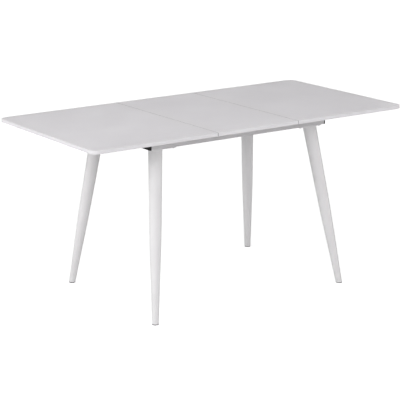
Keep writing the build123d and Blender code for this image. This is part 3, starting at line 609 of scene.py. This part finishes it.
def make_leg_welds():
    """Beads that join each leg to its plate."""
    bm = bmesh.new()
    for side in SIDES.values():
        for depth in DEPTHS.values():
            foot, top = leg_axis(side, depth)
            centre = top - Vector((0.0, 0.0, WELD_SINK * WELD_RADIUS))
            path = level_ring(centre, LEG_TOP_RADIUS, top - foot, LEG_WELD_STEPS)
            bead(bm, path, Vector((0.0, 0.0, 1.0)))
    piece("leg_welds", bm, "frame", "white_steel")


def make_bar_welds():
    """Beads round both ends of each cross bar, on its end plates."""
    low, high = BAR_Z
    bm = bmesh.new()
    for x in BAR_XS:
        for depth in DEPTHS.values():
            corners = ((x - BAR_HALF_WIDTH, low), (x + BAR_HALF_WIDTH, low),
                       (x + BAR_HALF_WIDTH, high), (x - BAR_HALF_WIDTH, high))
            path = []
            for index, (x0, z0) in enumerate(corners):
                x1, z1 = corners[(index + 1) % 4]
                steps = round(math.hypot(x1 - x0, z1 - z0) / WELD_STEP)
                for step in range(steps):
                    share = step / steps
                    path.append(Vector((x0 + share * (x1 - x0), depth * BAR_END_Y, z0 + share * (z1 - z0))))
            bead(bm, path, Vector((0.0, 1.0, 0.0)))
    piece("bar_welds", bm, "frame", "white_steel")


def make_dowels():
    """Fluted dowels with chamfered ends, glued into the left half and into the leaf."""
    low, high = DOWEL_REACH - DOWEL_LENGTH, DOWEL_REACH
    eased = DOWEL_RADIUS - DOWEL_EASING
    tip = DOWEL_RADIUS - DOWEL_CHAMFER
    profile = [
        (tip, low), (eased, low + 0.0012), (DOWEL_RADIUS, low + 0.002),
        (DOWEL_RADIUS, high - 0.002), (eased, high - 0.0012), (tip, high),
    ]
    rows = (("left_top_dowels", "left_top", -SEAM_OUTER), ("leaf_dowels", "leaf", SEAM_INNER))
    for node, body, seam in rows:
        bm = bmesh.new()
        for y in DOWEL_YS:
            turned(bm, profile, lambda spot: Vector((seam + spot.z, y + spot.x, DOWEL_Z + spot.y)),
                   DOWEL_SEGMENTS, DOWEL_FLUTES, FLUTE_DEPTH)
        piece("fluted_" + node, bm, body, "beech", (node,))


def make_rest_pads():
    """Rubber buttons under the leaf: a rounded rim and a shallow dish that faces the rail."""
    thick = UNDER_FACE - RAIL_TOP
    profile = [
        (AXIS_CLEAR, 0.0004), (0.0045, 0.0004), (0.0052, 0.0), (PAD_RADIUS - 0.0005, 0.0),
        (PAD_RADIUS - 0.00015, 0.00015), (PAD_RADIUS, 0.0005), (PAD_RADIUS, thick - 0.0003),
        (PAD_RADIUS - 0.0003, thick), (AXIS_CLEAR, thick),
    ]
    bm = bmesh.new()
    for depth in DEPTHS.values():
        for x in PAD_XS:
            turned(bm, profile, lambda spot: spot + Vector((x, depth * RAIL_Y, RAIL_TOP)), PAD_SEGMENTS)
    piece("moulded_rest_pads", bm, "leaf", "rubber", ("leaf_rest_pads",))


def make_bush():
    """The pinion's bush, chamfered at both ends and clear of the washers by its end play."""
    (bore, outer), chamfer = BUSH_RADII, BUSH_CHAMFER
    low, high = BUSH_Z[0] + BUSH_PLAY, BUSH_Z[1] - BUSH_PLAY
    profile = [
        (bore, low + chamfer), (bore + chamfer, low), (outer - chamfer, low), (outer, low + chamfer),
        (outer, high - chamfer), (outer - chamfer, high), (bore + chamfer, high), (bore, high - chamfer),
    ]
    bm = bmesh.new()
    turned(bm, profile, lambda spot: spot, BUSH_SEGMENTS, bored=True)
    piece("turned_pinion_bush", bm, "pinion", "bronze", ("pinion_bush",))


def make_glides():
    """Moulded glides: a rounded tread with a ring groove, and a ribbed plug inside the leg."""
    bore = LEG_FOOT_RADIUS - LEG_WALL - GLIDE_FIT
    profile = [
        (AXIS_CLEAR, 0.0009), (0.0040, 0.0009), (0.0046, 0.0001), (0.0090, 0.0), (0.0093, 0.0006),
        (0.0101, 0.0006), (0.0104, 0.0), (0.0128, 0.0), (0.0136, 0.0003), (LEG_FOOT_RADIUS, 0.0010),
        (LEG_FOOT_RADIUS, GLIDE_HEIGHT - 0.0003), (LEG_FOOT_RADIUS - 0.0002, GLIDE_HEIGHT),
        (bore, GLIDE_HEIGHT), (bore, 0.008), (bore - 0.0008, 0.009), (bore, 0.010), (bore, 0.014),
        (bore - 0.0008, 0.015), (bore, 0.016), (bore, GLIDE_PLUG_TOP - 0.001),
        (bore - 0.001, GLIDE_PLUG_TOP), (AXIS_CLEAR, GLIDE_PLUG_TOP),
    ]
    for side_name, side in SIDES.items():
        for depth_name, depth in DEPTHS.items():
            bm = bmesh.new()
            turned(bm, profile, leaning(*leg_axis(side, depth)), GLIDE_SEGMENTS)
            node = f"{depth_name}_{side_name}_glide"
            piece("moulded_" + node, bm, "frame", "glide_plastic", (node,))


# ---- stage --------------------------------------------------------------------------------
FLOOR_REACH = 45.0
FLOOR_SEGMENTS = 96
SHOWN_LEVEL = -0.0003                   # just under the glides
LIGHT_LEVEL = -0.0008
FLOOR_TONES = ((0.90, 0.90, 0.90), (0.92, 0.92, 0.92))
FLOOR_SHADE_TONE = (0.80, 0.80, 0.80)          # painted shade: the lighting floor is darker under the table, which dims its bounce
FLOOR_SHADE_SPREAD = (0.5, 1.5)                # and turns pale between these distances from its middle
GLOW_TONE = (1.0, 1.0, 1.0, 1.0)
FLOOR_GLOW_NEAR = 0.62                  # lifts the shown floor to plain white under the table
FLOOR_GLOW_FAR = 0.85                   # and further out, where the lamps reach less
GLOW_SPREAD = (0.8, 4.0)                # distances between which the glow rises
HORIZON_LIGHT = 1.19                    # a bright wall round the studio
HORIZON_WHITE = 1.14                    # its foot, seen past the floor's edge
HORIZON_STEPS = (
    # sine of the height above the horizon, brightness
    (0.10, HORIZON_WHITE),
    (0.14, HORIZON_LIGHT),
    (0.30, HORIZON_LIGHT),
    (0.55, 0.0),
)
LAMPS = (
    # name, place, size, watts
    ("left", (-4.5, 0.5, 2.6), (3.0, 2.5), 87.0),
    ("front_left", (-3.6, -4.0, 3.2), (3.0, 2.5), 45.0),
    ("overhead", (-0.2, -0.8, 3.6), (3.6, 2.6), 19.5),
    ("front_high", (-0.5, -4.0, 4.0), (3.0, 2.5), 44.0),
    ("front_right", (4.2, -3.2, 2.2), (3.0, 2.5), 24.5),
)
LAMP_AIM = Vector((0.0, 0.0, 0.6))


def disc(name, material, level):
    mesh = bpy.data.meshes.new(name)
    bm = bmesh.new()
    bmesh.ops.create_circle(bm, cap_ends=True, segments=FLOOR_SEGMENTS, radius=FLOOR_REACH)
    bmesh.ops.translate(bm, verts=bm.verts, vec=(0.0, 0.0, level))
    bm.to_mesh(mesh)
    bm.free()
    mesh.materials.append(material)
    floor = bpy.data.objects.new(name, mesh)
    scene.collection.objects.link(floor)
    return floor


def make_floor():
    """A pale floor that lights the table from below, and a whiter one that the camera sees."""
    pale = Graph("floor_pale", Roughness=0.9)
    far = pale.mix(pale.noise(0.6, 3.0), *FLOOR_TONES)
    # painted shade on the lighting floor, under the table
    shade_under_table = pale.remap(pale.reach(), *FLOOR_SHADE_SPREAD, 1.0, 0.0, smooth=True)
    pale.feed("Base Color", pale.mix(shade_under_table, far, FLOOR_SHADE_TONE))
    lit = disc("floor_light", pale.material, LIGHT_LEVEL)
    lit.visible_camera = False

    white = Graph("floor_white", Roughness=0.9)
    white.feed("Base Color", white.mix(white.noise(0.6, 3.0), *FLOOR_TONES))
    white.shader.inputs["Emission Color"].default_value = GLOW_TONE
    glow = white.remap(white.reach(), *GLOW_SPREAD, FLOOR_GLOW_NEAR, FLOOR_GLOW_FAR, smooth=True)
    white.feed("Emission Strength", glow)
    shown = disc("floor_shown", white.material, SHOWN_LEVEL)
    shown.visible_diffuse = False
    shown.visible_glossy = False
    shown.visible_transmission = False
    shown.visible_shadow = False


def make_world():
    world = bpy.data.worlds.new("studio")
    scene.world = world
    world.use_nodes = True
    tree = world.node_tree
    background = tree.nodes["Background"]
    place = tree.nodes.new("ShaderNodeTexCoord")
    split = tree.nodes.new("ShaderNodeSeparateXYZ")
    ramp = tree.nodes.new("ShaderNodeValToRGB")
    ramp.color_ramp.interpolation = "EASE"
    while len(ramp.color_ramp.elements) < len(HORIZON_STEPS):
        ramp.color_ramp.elements.new(0.5)
    for element, (height, level) in zip(ramp.color_ramp.elements, HORIZON_STEPS):
        element.position = height
        element.color = (level, level, level, 1.0)
    tree.links.new(place.outputs["Generated"], split.inputs["Vector"])
    tree.links.new(split.outputs["Z"], ramp.inputs["Fac"])
    tree.links.new(ramp.outputs["Color"], background.inputs["Color"])


def make_lamps():
    for name, at, size, watts in LAMPS:
        data = bpy.data.lights.new(name, "AREA")
        data.shape = "RECTANGLE"
        data.size, data.size_y = size
        data.energy = watts
        lamp = bpy.data.objects.new(name, data)
        lamp.matrix_world = facing(Vector(at), LAMP_AIM)
        scene.collection.objects.link(lamp)
        lamp.visible_camera = False


make_camera()
dress_nodes()
ease_edges()
make_leg_welds()
make_bar_welds()
make_dowels()
make_rest_pads()
make_bush()
make_glides()
make_floor()
make_world()
make_lamps()
